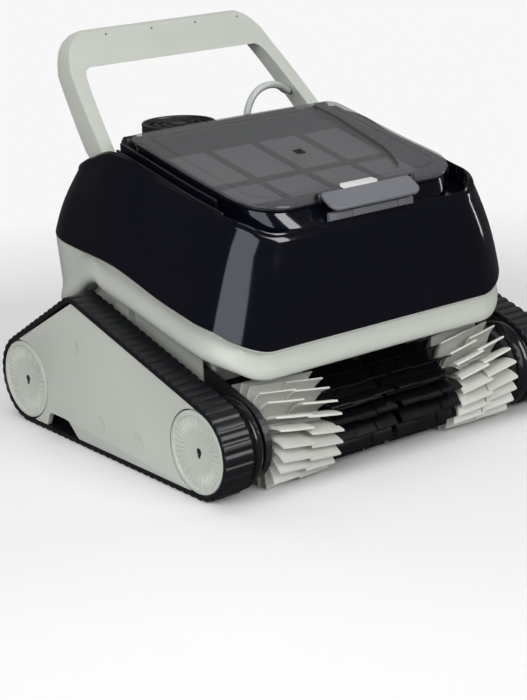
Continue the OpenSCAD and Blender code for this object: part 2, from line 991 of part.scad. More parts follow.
// Strap round one side of the coil
module coil_tie() {
  t = 1.6;
  clear = 0.05;
  side = 2 * coil_half;
  color("#2b2b2e")
    translate([coil_x, coil_y, 0])
      difference() {
        rotate([0, 0, 200])
          translate([coil_mid_r - coil_half - 2 * t, -9, 0.2])
            cube([side + 3 * t, 18, side + t]);
        rotate_extrude()
          translate([coil_mid_r - coil_half - clear, -1])
            square([side + 2 * clear, side + 1.2 + clear]);
      }
}

// Supply connector that lies on top of the coil
module cord_connector() {
  color("#26272a")
    translate([coil_x, coil_y - coil_mid_r, 0.2 + 2 * coil_half + 13])
      rotate([0, 90, 0]) {
        translate([0, 0, -24])
          cylinder(h = 34, r = 13);
        translate([0, 0, 10])
          cylinder(h = 14, r = 10);
        translate([0, 0, -44])
          cylinder(h = 20, r1 = 5.5, r2 = 9);
      }
}

base_shell();
chassis();
bottom_plate();
inlet_flaps();
upper_shell();
deck();
filter_housing();
basket_frame();
basket_mesh();
lid();
lid_seal();
lid_label();
lid_hinge_arms();
lid_hinge_pins();
latch_plate();
latch_keeper();
handle();
handle_pins();
outlet_collar();
outlet_grille();
impeller();
impeller_shaft();
motor_box();
motor_box_cover();
pump_motor();
drive_motors();
control_board();
brush_bracket();
track_bushes();
screws();
side_plate(true);  // side_plate_left
track_frame(true);  // track_frame_left
belt(true);  // belt_left
wheel(true, -wheel_y);  // front_wheel_left
cap(true, -wheel_y);  // front_cap_left
wheel(true, wheel_y);  // rear_wheel_left
cap(true, wheel_y);  // rear_cap_left
idler(true);  // idler_left
rear_shaft(true);  // rear_shaft_left
brush_core(true);  // brush_core_left
brush_white(true);  // brush_white_left
brush_black(true);  // brush_black_left
side_plate(false);  // side_plate_right
track_frame(false);  // track_frame_right
belt(false);  // belt_right
wheel(false, -wheel_y);  // front_wheel_right
cap(false, -wheel_y);  // front_cap_right
wheel(false, wheel_y);  // rear_wheel_right
cap(false, wheel_y);  // rear_cap_right
idler(false);  // idler_right
rear_shaft(false);  // rear_shaft_right
brush_core(false);  // brush_core_right
brush_white(false);  // brush_white_right
brush_black(false);  // brush_black_right
cable_gland();
cord_loop();
cord_drop();
cord_coil();
coil_tie();
cord_connector();
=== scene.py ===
"""Looks of a tracked robotic pool cleaner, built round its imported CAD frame. Metres, +Z up, -Y is the front."""
import bisect
import json
import math
import random

import bmesh
import bpy
from mathutils import Matrix, Vector


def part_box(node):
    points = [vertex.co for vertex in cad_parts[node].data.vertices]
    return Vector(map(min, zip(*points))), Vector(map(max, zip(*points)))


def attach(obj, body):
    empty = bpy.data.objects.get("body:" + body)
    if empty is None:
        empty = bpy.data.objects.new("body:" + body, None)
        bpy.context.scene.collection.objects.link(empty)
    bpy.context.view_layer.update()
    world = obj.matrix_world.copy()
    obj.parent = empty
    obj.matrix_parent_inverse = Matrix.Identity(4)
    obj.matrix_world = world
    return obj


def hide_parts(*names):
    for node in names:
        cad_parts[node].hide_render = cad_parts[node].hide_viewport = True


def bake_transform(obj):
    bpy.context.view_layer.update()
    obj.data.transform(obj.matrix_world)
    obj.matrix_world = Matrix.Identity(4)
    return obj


MM = 0.001
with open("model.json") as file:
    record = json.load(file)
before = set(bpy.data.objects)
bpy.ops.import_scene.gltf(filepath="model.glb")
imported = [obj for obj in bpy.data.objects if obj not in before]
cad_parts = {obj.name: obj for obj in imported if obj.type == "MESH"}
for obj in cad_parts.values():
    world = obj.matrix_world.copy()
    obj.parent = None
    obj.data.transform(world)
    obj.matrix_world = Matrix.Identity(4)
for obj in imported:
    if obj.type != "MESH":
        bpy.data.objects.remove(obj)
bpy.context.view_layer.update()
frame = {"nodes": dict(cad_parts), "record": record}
NODES = frame["nodes"]


def angles(steps):
    """Angles evenly spaced round a full turn, from 0."""
    return [2 * math.pi * i / steps for i in range(steps)]


def on_circle(u, v, radius, angle):
    """The point at angle on a circle about (u, v)."""
    return u + radius * math.cos(angle), v + radius * math.sin(angle)


# ---------- camera, floor and light ----------
def look_camera():
    """The camera of the picture: 37.75 degrees to the left of the front, a little above, slightly rolled."""
    azimuth, elevation, roll = math.radians(-37.75), math.radians(17.46), math.radians(-1.92)
    target, distance = Vector((-147.74, -168.8, 137.66)) * MM, 1.8049
    back = Vector((
        math.sin(azimuth) * math.cos(elevation), -math.cos(azimuth) * math.cos(elevation), math.sin(elevation)
    ))
    right = (-back).cross(Vector((0, 0, 1))).normalized()
    up = right.cross(-back)
    rolled_right = right * math.cos(roll) + up * math.sin(roll)
    rolled_up = up * math.cos(roll) - right * math.sin(roll)
    data = bpy.data.cameras.new("camera")
    data.lens, data.sensor_width = 98.16, 36.0
    camera = bpy.data.objects.new("camera", data)
    bpy.context.scene.collection.objects.link(camera)
    turn = Matrix((rolled_right, rolled_up, back)).transposed().to_4x4()
    camera.matrix_world = Matrix.Translation(target + back * distance) @ turn
    bpy.context.scene.camera = camera


def area_light(name, place, aim, size, power, mirrored=False, colour=(1, 1, 1)):
    """A soft box. A mirrored one only shows as a reflection, and any other only gives diffuse light."""
    data = bpy.data.lights.new(name, "AREA")
    data.shape, data.size, data.size_y = "RECTANGLE", size[0], size[1]
    data.energy, data.color = power, colour
    light = bpy.data.objects.new(name, data)
    light.location = place
    light.rotation_euler = (Vector(aim) - Vector(place)).to_track_quat("-Z", "Y").to_euler()
    light.visible_camera, light.visible_glossy, light.visible_diffuse = False, mirrored, not mirrored
    bpy.context.scene.collection.objects.link(light)


FLOOR_RADIUS, FADE_START, FADE_END = 1.0, 0.55, 0.98
SURROUND_LIGHT, SURROUND_SEEN = 0.07, 0.93  # as a lamp, and as the camera sees it


def studio():
    """A round pale floor that fades into a pale surround, big soft fills and a few boxes for the gloss."""
    rim = [(*on_circle(0, 0, FLOOR_RADIUS, a), 0) for a in angles(96)]
    mesh = bpy.data.meshes.new("floor")
    mesh.from_pydata(rim, [], [tuple(range(len(rim)))])
    floor = bpy.data.objects.new("floor", mesh)
    bpy.context.scene.collection.objects.link(floor)
    s = Shader("floor", (0.82, 0.82, 0.82), 0.9, Specular_IOR_Level=0.0)
    away = s.nodes.new("ShaderNodeVectorMath")
    away.operation = "LENGTH"
    s.links.new(s.place, away.inputs[0])
    s.links.new(s.ramp(away.outputs["Value"], FADE_START, FADE_END, 1, 0), s.surface.inputs["Alpha"])
    floor.data.materials.append(s.material)
    floor.visible_glossy = False
    world = bpy.data.worlds.new("surround")
    world.use_nodes = True
    nodes, links = world.node_tree.nodes, world.node_tree.links
    rays, level = nodes.new("ShaderNodeLightPath"), nodes.new("ShaderNodeMapRange")
    with_values(level, To_Min=SURROUND_LIGHT, To_Max=SURROUND_SEEN)
    links.new(rays.outputs["Is Camera Ray"], level.inputs["Value"])
    links.new(level.outputs["Result"], nodes["Background"].inputs["Strength"])
    with_values(nodes["Background"], Color=(1, 1, 1, 1))
    bpy.context.scene.world = world
    bpy.context.scene.view_settings.view_transform = "Standard"
    for light in (
        ("fill_left", (-2.0, -0.9, 1.5), (0, 0, 0.15), (2.0, 1.6), 46),
        ("fill_front", (0.2, -2.4, 1.3), (0, 0, 0.15), (2.0, 1.4), 38),
        ("fill_top", (0.1, 0.1, 2.4), (0, 0, 0.2), (2.4, 2.4), 19),
        ("fill_right", (2.3, 0.2, 1.2), (0, 0, 0.15), (1.6, 1.4), 15),
        ("fill_back", (-0.2, 2.5, 1.3), (0, 0, 0.15), (2.0, 1.4), 18),
        ("corner_box", (-0.93, -0.78, 0.42), (-0.14, -0.13, 0.2), (0.95, 0.95), 6.5, True, (0.86, 0.92, 1)),
        ("front_box", (0.42, -1.45, 1.0), (-0.05, -0.16, 0.25), (0.75, 1.2), 22, True),
        ("lid_box", (1.2, 1.15, 1.65), (0, -0.05, 0.29), (3.0, 2.0), 5.5, True),
        ("right_box", (1.9, -0.5, 0.5), (0.19, -0.1, 0.2), (0.1, 0.9), 2, True),
    ):
        area_light(*light)


# ---------- materials ----------
def with_values(node, **values):
    """Sets the input sockets of node, whose names may have _ for a space."""
    for key, value in values.items():
        node.inputs[key.replace("_", " ")].default_value = value
    return node


class Shader:
    """A small wrapper that builds one Principled material out of procedural nodes."""

    def __init__(self, name, colour, roughness, **sockets):
        self.material = bpy.data.materials.new(name)
        self.material.use_nodes = True
        self.nodes, self.links = self.material.node_tree.nodes, self.material.node_tree.links
        self.surface = with_values(
            self.nodes["Principled BSDF"], Base_Color=(*colour, 1), Roughness=roughness, **sockets
        )
        self.place = self.nodes.new("ShaderNodeTexCoord").outputs["Object"]

    def noise(self, scale, detail):
        node = with_values(self.nodes.new("ShaderNodeTexNoise"), Scale=scale, Detail=detail)
        self.links.new(self.place, node.inputs["Vector"])
        return node.outputs["Fac"]

    def ramp(self, value, low, high, first, second):
        """Runs from first to second as value runs from low to high."""
        node = self.nodes.new("ShaderNodeMapRange")
        with_values(node, From_Min=low, From_Max=high, To_Min=first, To_Max=second)
        self.links.new(value, node.inputs["Value"])
        return node.outputs["Result"]

    def tint(self, factor, first, second):
        """Base colour runs from first to second as factor runs from 0 to 1."""
        node = self.nodes.new("ShaderNodeMix")
        node.data_type = "RGBA"
        with_values(node, A=(*first, 1), B=(*second, 1))
        self.links.new(factor, node.inputs["Factor"])
        self.links.new(node.outputs["Result"], self.surface.inputs["Base Color"])

    def rough(self, factor, low, high):
        self.links.new(self.ramp(factor, 0.3, 0.7, low, high), self.surface.inputs["Roughness"])

    def bump(self, value, depth):
        """Gives the surface a bump whose full height is depth metres."""
        node = with_values(self.nodes.new("ShaderNodeBump"), Strength=1.0, Distance=depth)
        self.links.new(value, node.inputs["Height"])
        self.links.new(node.outputs["Normal"], self.surface.inputs["Normal"])


def moulded(name, colour, roughness, grain=900.0, depth=0.00004, spread=0.05, **sockets):
    """Moulded plastic or rubber: a fine grain, slow cloudy variation in shade and in gloss."""
    s = Shader(name, colour, roughness, **sockets)
    cloud = s.noise(9, 4)
    s.tint(s.ramp(cloud, 0.3, 0.7, 0, 1), [c * (1 - spread) for c in colour], [c * (1 + spread) for c in colour])
    s.rough(s.noise(26, 5), roughness * 0.85, min(1, roughness * 1.2))
    s.bump(s.noise(grain, 3), depth)
    return s.material


LOOKS = (
    ("shell_light", (0.50, 0.525, 0.475), 0.40, {"spread": 0.03, "Coat_Weight": 0.15, "Coat_Roughness": 0.3}),
    ("shell_black", (0.0024, 0.0029, 0.0062), 0.1, {
        "grain": 60, "depth": 0.000008, "Coat_Weight": 0.15, "Coat_Roughness": 0.05
    }),
    ("trim_black", (0.012, 0.012, 0.014), 0.38, {}),
    ("chassis_dark", (0.02, 0.021, 0.024), 0.5, {}),
    ("lid_smoke", (0.10, 0.104, 0.11), 0.16, {
        "grain": 50, "depth": 0.000008, "Alpha": 0.45, "Coat_Weight": 0.4, "Coat_Roughness": 0.06
    }),
    ("latch_grey", (0.15, 0.155, 0.175), 0.32, {}),
    ("basket_grey", (0.004, 0.0042, 0.005), 0.5, {}),
    ("mesh_grey", (0.4, 0.405, 0.42), 0.6, {}),
    ("label_white", (0.6, 0.6, 0.59), 0.4, {}),
    ("rubber_black", (0.007, 0.0075, 0.0095), 0.33, {}),
    ("rubber_gloss", (0.008, 0.0085, 0.01), 0.16, {"grain": 80, "depth": 0.00002}),
    ("seal_black", (0.004, 0.004, 0.0045), 0.45, {}),
    ("blade_white", (0.56, 0.575, 0.53), 0.5, {}),
    ("blade_black", (0.004, 0.0042, 0.0052), 0.2, {"grain": 60, "depth": 0.00001}),
    ("steel", (0.5, 0.5, 0.51), 0.3, {"Metallic": 1.0}),
    ("bush_bronze", (0.45, 0.3, 0.12), 0.35, {"Metallic": 1.0}),
    ("board_green", (0.02, 0.14, 0.06), 0.45, {}),
    ("cable_grey", (0.45, 0.48, 0.46), 0.42, {}),
)
MATERIALS = {}


def make_materials():
    for name, colour, roughness, extras in LOOKS:
        MATERIALS[name] = moulded(name, colour, roughness, **extras)


def dress(obj, slot):
    """Gives obj the one material of that slot."""
    obj.data.materials.clear()
    obj.data.materials.append(MATERIALS[slot])
    return obj


def dress_cad_nodes():
    for part in frame["record"]["subparts"]:
        dress(NODES[part["node"]], part["material_slot"])


# ---------- cords ----------
CABLE_D = 0.008
HANDLE_HOLE = (138.5, 131, 314.5)
LOOP_ROUTE = [
    (50, 102, 296.7), (51, 102, 305), (54.5, 102, 313), (59.5, 102, 320), (66.5, 102, 325.5), (74.5, 102, 328.5),
    (83, 102, 329.5), (91.5, 103.5, 328.3), (99.5, 106.5, 325.7), (106, 110.5, 322.5), (113, 116, 319.3),
    (120.5, 121.8, 316.5), (128.5, 126.3, 315), HANDLE_HOLE
]
DROP_ROUTE = [
    HANDLE_HOLE, (148, 135.5, 314), (156, 139.5, 312), (165, 144, 307), (173, 149, 299), (178, 155, 289),
    (180, 160, 277), (181, 165, 263), (181, 170, 248), (179, 175, 230), (176, 181, 205), (172, 187, 178),
    (168, 193, 150), (163, 199, 122), (158, 205, 95), (153, 210, 69), (148, 215, 46), (143, 222, 27),
    (138, 232, 13), (134, 245, 6), (132.5, 259, 4.2), (132, 270, 4.2)
]
COIL_CENTRE = (45, 318)
COIL_FIRST_R, COIL_STEP, COIL_LAYERS, COIL_FLOOR = 92, 8, 6, 4.2


def coil_point(radius, angle, height):
    return (*on_circle(*COIL_CENTRE, radius, angle), height)


def coil_route():
    """Turns wound layer by layer from the floor up, out to in and back again, in millimetres."""
    start = math.atan2(DROP_ROUTE[-1][1] - COIL_CENTRE[1], DROP_ROUTE[-1][0] - COIL_CENTRE[0])
    per_turn, shift_points, last_turn_points = 24, 3, 10
    row = [COIL_FIRST_R - COIL_STEP * i for i in range(COIL_LAYERS)]
    turns = []
    for layer in range(COIL_LAYERS):
        turns += [(r, COIL_FLOOR + layer * COIL_STEP) for r in row[::-1 if layer % 2 else 1]]
    points = []
    for turn, (radius, height) in enumerate(turns):
        old_radius, old_height = turns[turn - 1] if turn else (radius + 5, height)
        for k in range(per_turn):
            share = min(1, k / (shift_points if turn else 2 * shift_points))
            share = share * share * (3 - 2 * share)
            points.append(coil_point(
                old_radius + (radius - old_radius) * share, start + 2 * math.pi * (k + 1) / per_turn,
                old_height + (height - old_height) * share
            ))
    # the last turn stops early, climbs over the strap and runs into the plug
    del points[last_turn_points - per_turn:]
    climb = ((136, 92, 45), (151, 92, 47.3), (166, 91.5, 50.4), (181, 91, 53.6), (196, 90, 55.9), (211, 89, 57.7),
             (226, 87.5, 59.5))
    points += [coil_point(r, math.radians(degrees), z) for degrees, r, z in climb]
    return points + [(-6, 248.2, 60.9), (3, 246, 61.2)]


def smooth_route(points, steps):
    """A Catmull-Rom curve through points, with steps pieces to each span."""
    pts = [Vector(p) for p in points]
    pts = [2 * pts[0] - pts[1]] + pts + [2 * pts[-1] - pts[-2]]
    out = []
    for a, b, c, d in zip(pts, pts[1:], pts[2:], pts[3:]):
        for i in range(steps):
            t = i / steps
            out.append(0.5 * (2 * b + (c - a) * t + (2 * a - 5 * b + 4 * c - d) * t * t
                              + (3 * b - a - 3 * c + d) * t ** 3))
    return out + [pts[-2]]


# ---------- mesh tools, all in millimetres ----------
CREASE = 32


def shade(obj, crease):
    """Smooth shading, broken at edges sharper than crease degrees."""
    obj.data.shade_smooth()
    obj.data.set_sharp_from_angle(angle=math.radians(crease))


def piece(name, points, faces, slot, body, stands_for=(), crease=CREASE):
    """A mesh from points in millimetres, closed and facing outwards. Without a body it is only a blank."""
    mesh = bpy.data.meshes.new(name)
    mesh.from_pydata([Vector(p) * MM for p in points], [], faces)
    work = bmesh.new()
    work.from_mesh(mesh)
    bmesh.ops.remove_doubles(work, verts=work.verts, dist=1e-6)
    bmesh.ops.recalc_face_normals(work, faces=work.faces)
    work.to_mesh(mesh)
    work.free()
    obj = bpy.data.objects.new(name, mesh)
    bpy.context.scene.collection.objects.link(obj)
    return finish_piece(obj, slot, body, stands_for, crease)


def finish_piece(obj, slot, body, stands_for=(), crease=CREASE):
    """Shades obj, gives it the material of its slot, hangs it on its body and hides the nodes that it stands for."""
    shade(obj, crease)
    dress(obj, slot)
    if body:
        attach(obj, body)
    if stands_for:
        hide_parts(*stands_for)
    return obj


def apply_modifiers(obj):
    """Bakes obj's modifiers into its mesh."""
    graph = bpy.context.evaluated_depsgraph_get()
    mesh = bpy.data.meshes.new_from_object(obj.evaluated_get(graph))
    old = obj.data
    obj.modifiers.clear()
    obj.data = mesh
    bpy.data.meshes.remove(old)


def bevelled(obj, width, segments=3):
    """Rounds the edges sharper than 30 degrees by width millimetres."""
    modifier = obj.modifiers.new("bevel", "BEVEL")
    modifier.width, modifier.segments = width * MM, segments
    modifier.limit_method, modifier.angle_limit = "ANGLE", math.radians(30)
    modifier.harden_normals = False
    apply_modifiers(obj)
    shade(obj, CREASE)
    return obj


def combined(obj, other, operation):
    """Boolean of obj with other, which is used up."""
    modifier = obj.modifiers.new("cut", "BOOLEAN")
    modifier.object, modifier.operation, modifier.solver = other, operation, "EXACT"
    apply_modifiers(obj)
    bpy.data.objects.remove(other)
    return obj


def ring_faces(first, second, n):
    """Faces between two loops of n points, counted from the first loop of all."""
    return [(first * n + i, second * n + i, second * n + (i + 1) % n, first * n + (i + 1) % n) for i in range(n)]


def skin(loops):
    """A closed skin through loops that run up the outside and back along the inside."""
    n, m = len(loops[0]), len(loops)
    faces = [f for k in range(m) for f in ring_faces(k, (k + 1) % m, n)]
    return [p for loop in loops for p in loop], faces


def dish(loops, first_centre, last_centre):
    """A closed skin through loops whose first and last are closed by fans."""
    n, m = len(loops[0]), len(loops)
    points = [p for loop in loops for p in loop] + [first_centre, last_centre]
    faces = [f for k in range(m - 1) for f in ring_faces(k, k + 1, n)]
    faces += [(m * n, i, (i + 1) % n) for i in range(n)]
    faces += [(m * n + 1, (m - 1) * n + (i + 1) % n, (m - 1) * n + i) for i in range(n)]
    return points, faces


def revolve(profile, centre, axis, steps):
    """Loops of (radius, height) pairs turned round the x or z axis through centre."""
    loops = []
    for radius, height in profile:
        loop = []
        for a in angles(steps):
            u, v = radius * math.cos(a), radius * math.sin(a)
            loop.append(Vector(centre) + Vector((height, u, v) if axis == "x" else (u, v, height)))
        loops.append(loop)
    return loops


def turned(name, profile, centre, axis, slot, body, stands_for=(), steps=64, solid=True):
    """A turned piece: solid profiles start and end on the axis, and hollow ones close on themselves."""
    if solid:
        ends = [Vector(centre) + Vector((h, 0, 0) if axis == "x" else (0, 0, h))
                for h in (profile[0][1], profile[-1][1])]
        points, faces = dish(revolve(profile[1:-1], centre, axis, steps), *ends)
    else:
        points, faces = skin(revolve(profile, centre, axis, steps))
    return piece(name, points, faces, slot, body, stands_for)


def cutting_rod(radius, low, high, centre, axis, steps=64):
    profile = [(0, low), (radius, low), (radius, high), (0, high)]
    return turned("cut", profile, centre, axis, "trim_black", None, steps=steps)


def prism(axis, shape, low, high):
    """Points and faces of a flat outline drawn out along axis from low to high. Its pairs leave that axis out."""
    n, k = len(shape), "xyz".index(axis)
    points = [(*p[:k], depth, *p[k:]) for depth in (low, high) for p in shape]
    return points, [tuple(range(n)), tuple(range(2 * n - 1, n - 1, -1))] + ring_faces(0, 1, n)


def cutting_prism(axis, shape, low, high):
    return piece("cut", *prism(axis, shape, low, high), "trim_black", None)


def joined(parts):
    """One list of points and faces from several."""
    points, faces = [], []
    for some_points, some_faces in parts:
        faces += [tuple(i + len(points) for i in f) for f in some_faces]
        points += list(some_points)
    return points, faces


def sided(shape, sign):
    """Points and faces, mirrored to the left side where sign is negative."""
    points, faces = shape
    return ([(-x, y, z) for x, y, z in points] if sign < 0 else points), faces


def tilted(obj, place, degrees, axis="X"):
    """Turns obj's mesh about the origin and then moves it to place."""
    obj.data.transform(Matrix.Translation(Vector(place) * MM) @ Matrix.Rotation(math.radians(degrees), 4, axis))


def tube_mesh(points, radius, sides=16):
    """A round tube with closed ends along points."""
    pts = [Vector(p) for p in points]
    loops, side = [], None
    for i, p in enumerate(pts):
        along = (pts[min(i + 1, len(pts) - 1)] - pts[max(i - 1, 0)]).normalized()
        if side is None:
            side = along.orthogonal().normalized()
        side = (side - along * side.dot(along)).normalized()
        other = along.cross(side)
        loops.append([p + radius * (side * math.cos(a) + other * math.sin(a)) for a in angles(sides)])
    return dish(loops, pts[0], pts[-1])


# ---------- body outlines and heights ----------
def smooth_table(rows):
    """A function through (y, z) rows, smooth and without overshoot."""
    xs, ys = [r[0] for r in rows], [r[1] for r in rows]
    slopes = [(b - a) / (d - c) for a, b, c, d in zip(ys, ys[1:], xs, xs[1:])]
    ends = [slopes[0]] + [0 if a * b <= 0 else 2 * a * b / (a + b) for a, b in zip(slopes, slopes[1:])]
    ends.append(slopes[-1])

    def value(x):
        i = min(max(bisect.bisect_right(xs, x) - 1, 0), len(xs) - 2)
        h = xs[i + 1] - xs[i]
        t = (min(max(x, xs[0]), xs[-1]) - xs[i]) / h
        return (ys[i] * (1 + 2 * t) * (1 - t) ** 2 + h * ends[i] * t * (1 - t) ** 2
                + ys[i + 1] * t * t * (3 - 2 * t) + h * ends[i + 1] * t * t * (t - 1))
    return value


OUTLET_R, OUTLET_PLACE = 39.5, (-37, 108, 0)
LID_HX, LID_FRONT, LID_REAR, LID_MIDDLE = 137, -148, 60, (0, -49)
seam_z = smooth_table([(-176, 131), (-168, 140), (-156, 149), (-142, 158), (-70, 174), (22, 196), (80, 201),
                       (128, 207), (162, 212)])
low_z = smooth_table([(-176, 100), (-168, 105), (-155, 116), (-132, 125), (-90, 134), (-46, 144), (0, 154), (38, 162),
                      (50, 168), (62, 165), (86, 148), (118, 131), (162, 122)])
shoulder_z = smooth_table([(-170, 241.5), (-160, 245), (-143, 256), (-110, 262.7), (-78, 270), (-12, 283), (38, 296),
                           (60, 297), (105, 284), (121, 278), (155, 270)])
lid_profile = smooth_table([(-170, 252), (-158, 259), (-148, 265.5), (-138, 269.5), (-48, 288.4), (20, 303.5),
                            (64, 313)])
deck_z = smooth_table([(-162, 233), (-150, 236), (-120, 243), (0, 268), (60, 281), (76, 284), (104, 284), (143, 268)])


def lid_z(x, y):
    return lid_profile(y) - (x / LID_HX) ** 2


def outline(half, front, rear, front_r, rear_r):
    """Rounded rectangle seen from above, counter-clockwise, always with the same number of points."""
    across, corner, along = 20, 18, 44

    def run(a, b, n):
        return [(a[0] + (b[0] - a[0]) * i / n, a[1] + (b[1] - a[1]) * i / n) for i in range(n)]

    def arc(cx, cy, r, start):
        return [on_circle(cx, cy, r, math.radians(start + 90 * i / corner)) for i in range(corner)]
    return (run((front_r - half, front), (half - front_r, front), across)
            + arc(half - front_r, front + front_r, front_r, -90)
            + run((half, front + front_r), (half, rear - rear_r), along) + arc(half - rear_r, rear - rear_r, rear_r, 0)
            + run((half - rear_r, rear), (rear_r - half, rear), across) + arc(rear_r - half, rear - rear_r, rear_r, 90)
            + run((-half, rear - rear_r), (-half, front + front_r), along)
            + arc(front_r - half, front + front_r, front_r, 180))


def seam_outline(d):
    return outline(195 - d, -173 + d, 158 - d, 58 - d, 62 - d)


def top_outline(d):
    return outline(160 - d, -167 + d, 150 - d, 50 - d, 45 - d)


def lid_outline(d):
    return outline(LID_HX - d, LID_FRONT + d, LID_REAR - d, 44 - d, 14 - min(d, 12))


def lifted(points, height, dz):
    return [(x, y, height(y) + dz) for x, y in points]


def on_lid(points, dz):
    return [(x, y, lid_z(x, y) + dz) for x, y in points]


def mixed(a, b, t, out=0.0):
    """A loop the share t of the way from a to b, pushed outwards by out."""
    loop = []
    for p, q in zip(a, b):
        x, y, z = (p[i] + (q[i] - p[i]) * t for i in range(3))
        far = math.hypot(x, y)
        loop.append((x * (1 + out / far), y * (1 + out / far), z))
    return loop


# ---------- body ----------
def make_upper_shell():
    """Gloss shell: nearly flat flanks, a rounded upper edge with a fine groove, a lip and an inner face to the deck."""
    low, high = lifted(seam_outline(0), seam_z, 0.6), lifted(top_outline(0), shoulder_z, -8)
    loops = [lifted(seam_outline(1.2), seam_z, 0.2), low]
    loops += [mixed(low, high, t, 3.2 * math.sin(math.pi * t)) for t in (0.02, 0.1, 0.25, 0.4, 0.55, 0.7, 0.85, 1.0)]
    for a in (18, 36, 54, 72):
        turn = math.radians(a)
        loops.append(lifted(top_outline(5 * (1 - math.cos(turn))), shoulder_z, -8 + 7 * math.sin(turn)))
    loops += [lifted(top_outline(d), shoulder_z, dz) for d, dz in
              ((4.2, -1.0), (4.4, -1.8), (5.0, -1.8), (5.2, -0.9), (5.8, -0.2), (6.6, 0), (7.1, -0.5), (7.3, -1.5))]
    loops += [lifted(top_outline(d), shoulder_z, -16) for d in (7.3, 6.2)] + [lifted(seam_outline(4), seam_z, 0.2)]
    shell = piece("shell_upper", *skin(loops), "shell_black", None, crease=40)
    combined(shell, cutting_rod(OUTLET_R + 0.5, 261, 330, OUTLET_PLACE, "z"), "DIFFERENCE")
    finish_piece(shell, "shell_black", "root", ["upper_shell"], crease=40)


def make_base_shell():
    """Light grey skirt with a soft bead along its lower edge, and the wheel well's wall inside it."""
    well = outline(157, -100, 148, 6, 6)
    liner = outline(155.6, -98.4, 146.7, 6, 6)
    top = lifted(seam_outline(0.2), seam_z, -0.6)
    shoulder = lifted(seam_outline(4.2), low_z, 27)
    loops = [lifted(seam_outline(1.4), seam_z, -0.1), top]
    loops += [mixed(top, shoulder, t) for t in (0.3, 0.65)] + [shoulder]
    bead = [(4.0, 22), (3.2, 17.5), (2.0, 13.5), (1.4, 9.5), (1.6, 6), (2.8, 3), (4.8, 1), (7.5, 0), (11, 0.6), (13, 2)]
    loops += [lifted(seam_outline(d), low_z, dz) for d, dz in bead]
    loops += [lifted(well, low_z, dz) for dz in (3, -6, -42)] + [lifted(liner, low_z, -42)]
    loops += [lifted(liner, low_z, 6), lifted(seam_outline(9), low_z, 8), lifted(seam_outline(4.5), seam_z, -0.1)]
    piece("shell_base", *skin(loops), "shell_light", "root", ["base_shell"], crease=50)


def make_tub():
    """The filter tub: an upright wall whose front leans out to the shell's lip, with a rolled rim under the lid."""
    bottom = 150

    def apron(lean):
        return outline(LID_HX - 4, LID_FRONT + 4 - lean, LID_REAR - 4, 40 + lean, 10)
    leans = ((0, -34), (5, -30), (9, -26), (9.9, -23), (9.6, -20), (7.5, -16.5), (4.5, -13), (1.5, -10.4), (0.3, -9.2))
    rim = ((3.4, -8.6), (3.2, -7.9), (4.0, -7.5), (6.2, -7.5), (7.0, -8.2))
    loops = [[(*p, bottom) for p in lid_outline(4)]] + [on_lid(apron(lean), dz) for lean, dz in leans]
    loops += [on_lid(lid_outline(d), dz) for d, dz in rim] + [[(*p, bottom) for p in lid_outline(7)]]
    piece("filter_tub", *skin(loops), "shell_black", "root", ["filter_housing"], crease=40)


def make_deck_details():
    """Stepped rails beside the lid, the hinge cover behind it and the guards by the handle's arms."""
    parts = []
    for sign in (-1, 1):
        for x0, x1, drop, start in ((140.2, 143.4, 9, -96), (145.4, 148.6, 15, -112)):
            ys = [start + (63 - start) * i / 16 for i in range(17)]
            low = [(y, deck_z(y) - 2) for y in ys]
            top = [(y, max(deck_z(y) + 1, lid_z(0, y) - drop)) for y in ys[::-1]]
            parts.append(sided(prism("x", low + top, x0, x1), sign))
        for y in (-44, -22, 0, 22, 44):
            step = [(y, deck_z(y) - 2), (y + 4, deck_z(y + 4) - 2), (y + 4, deck_z(y) + 9), (y + 1, deck_z(y) + 12)]
            parts.append(sided(prism("x", step, 143.2, 147), sign))
    bevelled(piece("deck_rails", *joined(parts), "shell_black", "root"), 0.7, 2)
    cover = [(63.2, 279), (63.2, 300), (64.4, 306.4), (67, 308.2), (71, 307.6), (75, 303), (76.5, 296), (76.5, 281)]
    covers = [prism("x", cover, a, b) for a, b in ((-134, -119.5), (-90.5, 90.5), (119.5, 134))]
    back = bevelled(piece("hinge_cover", *joined(covers), "trim_black", None), 1.2, 3)
    combined(back, cutting_rod(OUTLET_R + 0.5, 275, 320, OUTLET_PLACE, "z"), "DIFFERENCE")
    finish_piece(back, "trim_black", "root")
    spike = [(60, 282), (66, 296), (70, 282)]
    guards = [prism("x", spike, x, x + 1.2) for x in (152.2, -153.4)]
    piece("arm_guards", *joined(guards), "trim_black", "root")


